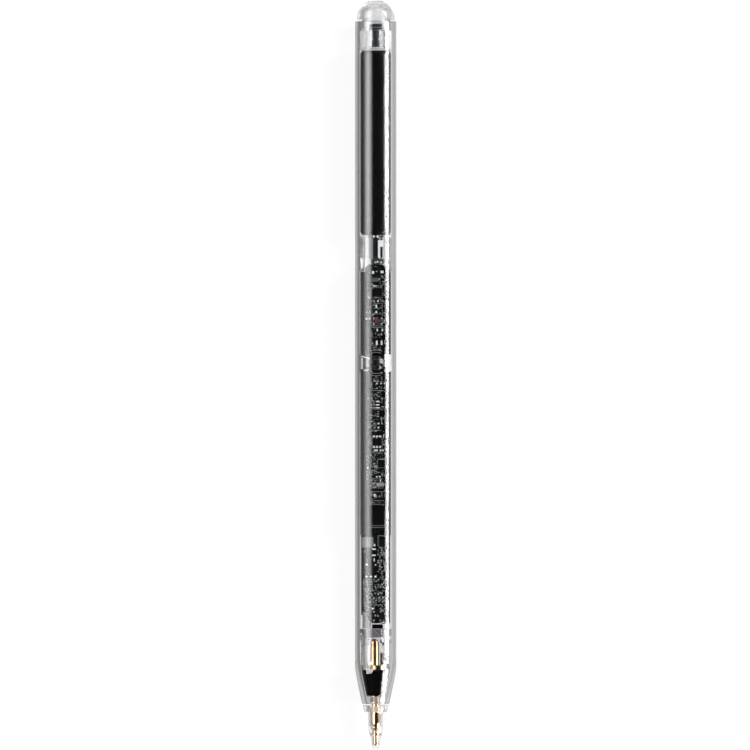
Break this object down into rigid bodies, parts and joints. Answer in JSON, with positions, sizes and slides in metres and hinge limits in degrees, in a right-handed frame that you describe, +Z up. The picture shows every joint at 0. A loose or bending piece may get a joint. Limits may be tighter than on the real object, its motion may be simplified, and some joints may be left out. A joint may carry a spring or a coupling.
{
  "type": "stylus pen",
  "caption": "Active stylus pen in a clear barrel with a tapered nose and one flat side, a press cap, a sprung tip rod and a screw-on nib.",
  "frame": {"origin": "centre of the pen's length and width, on the flat side that it rests on", "axes": "+X along the pen from the writing point to the end cap, +Z up from the flat side, +Y across"},
  "size_m": [0.163, 0.009, 0.0087],
  "materials": {
    "clear_barrel": "clear, polished",
    "clear_holder": "clear, moulded",
    "clear_nib": "clear, polished",
    "black_wrap": "satin film",
    "black_moulding": "gloss",
    "dark_moulding": "satin",
    "black_board": "lacquered, satin",
    "chip_black": "satin",
    "chip_grey": "satin",
    "indicator_red": "gloss",
    "grey_insulator": "matt",
    "flex_film": "satin film",
    "lead_rubber": "satin",
    "gold_plate": "polished",
    "bronze_wire": "drawn",
    "spring_steel": "drawn",
    "nickel_plate": "plated",
    "copper_wire": "enamelled",
    "ferrite": "matt"
  },
  "bodies": {
    "barrel": {"barrel": "clear_barrel", "cap_guide": "clear_holder", "switch_body": "dark_moulding", "switch_board": "black_board", "switch_strip": "flex_film", "cell_rear_pad": "grey_insulator", "battery_cell": "black_wrap", "cell_front_ring": "clear_holder", "cell_coupler": "clear_holder", "lead_plate": "grey_insulator", "positive_lead": "lead_rubber", "negative_lead": "lead_rubber", "terminal_block": "grey_insulator", "board_carrier": "dark_moulding", "main_board": "black_board", "charge_chip": "chip_grey", "power_chip": "chip_black", "indicator_light": "indicator_red", "regulator_chip": "chip_black", "signal_chip": "chip_black", "crystal": "nickel_plate", "screening_can": "chip_black", "processor_chip": "chip_black", "memory_chip": "chip_grey", "rear_magnet": "nickel_plate", "front_magnet": "nickel_plate", "charging_coil": "copper_wire", "coil_ferrite": "ferrite", "retainer_collar": "clear_holder", "retainer_screw": "dark_moulding", "board_plug": "black_moulding", "sensor_flex": "flex_film", "sensor_holder": "clear_holder", "nose_cone": "black_moulding", "nose_bushing": "clear_holder", "tip_spring": "spring_steel"},
    "cap": {"end_cap": "clear_barrel", "switch_plunger": "dark_moulding"},
    "tip_rod": {"tip_rod": "gold_plate", "contact_base": "gold_plate", "contact_tube": "gold_plate", "side_spring": "bronze_wire"},
    "nib_ring": {"nib_collar": "clear_nib"},
    "nib": {"nib_shell": "clear_nib", "nib_sleeve": "gold_plate", "nib_point": "clear_nib", "point_pin": "gold_plate"}
  },
  "joints": [
    {"name": "cap_press", "type": "slide", "parent": "barrel", "child": "cap", "axis": [-1, 0, 0], "range_m": [0, 0.00035], "stiffness_N_per_m": 4000},
    {"name": "tip_press", "type": "slide", "parent": "barrel", "child": "tip_rod", "axis": [1, 0, 0], "range_m": [0, 0.0003], "stiffness_N_per_m": 4000},
    {"name": "nib_advance", "type": "slide", "parent": "tip_rod", "child": "nib_ring", "axis": [-1, 0, 0], "range_m": [0, 0.0035]},
    {"name": "nib_unscrew", "type": "hinge", "parent": "nib_ring", "child": "nib", "pos_m": [-0.0765, 0, 0.00415], "axis": [-1, 0, 0], "range_deg": [0, 2521]}
  ],
  "couplings": [
    {"joint": "nib_unscrew", "follows": "nib_advance", "rad_per_m": 12566}
  ]
}
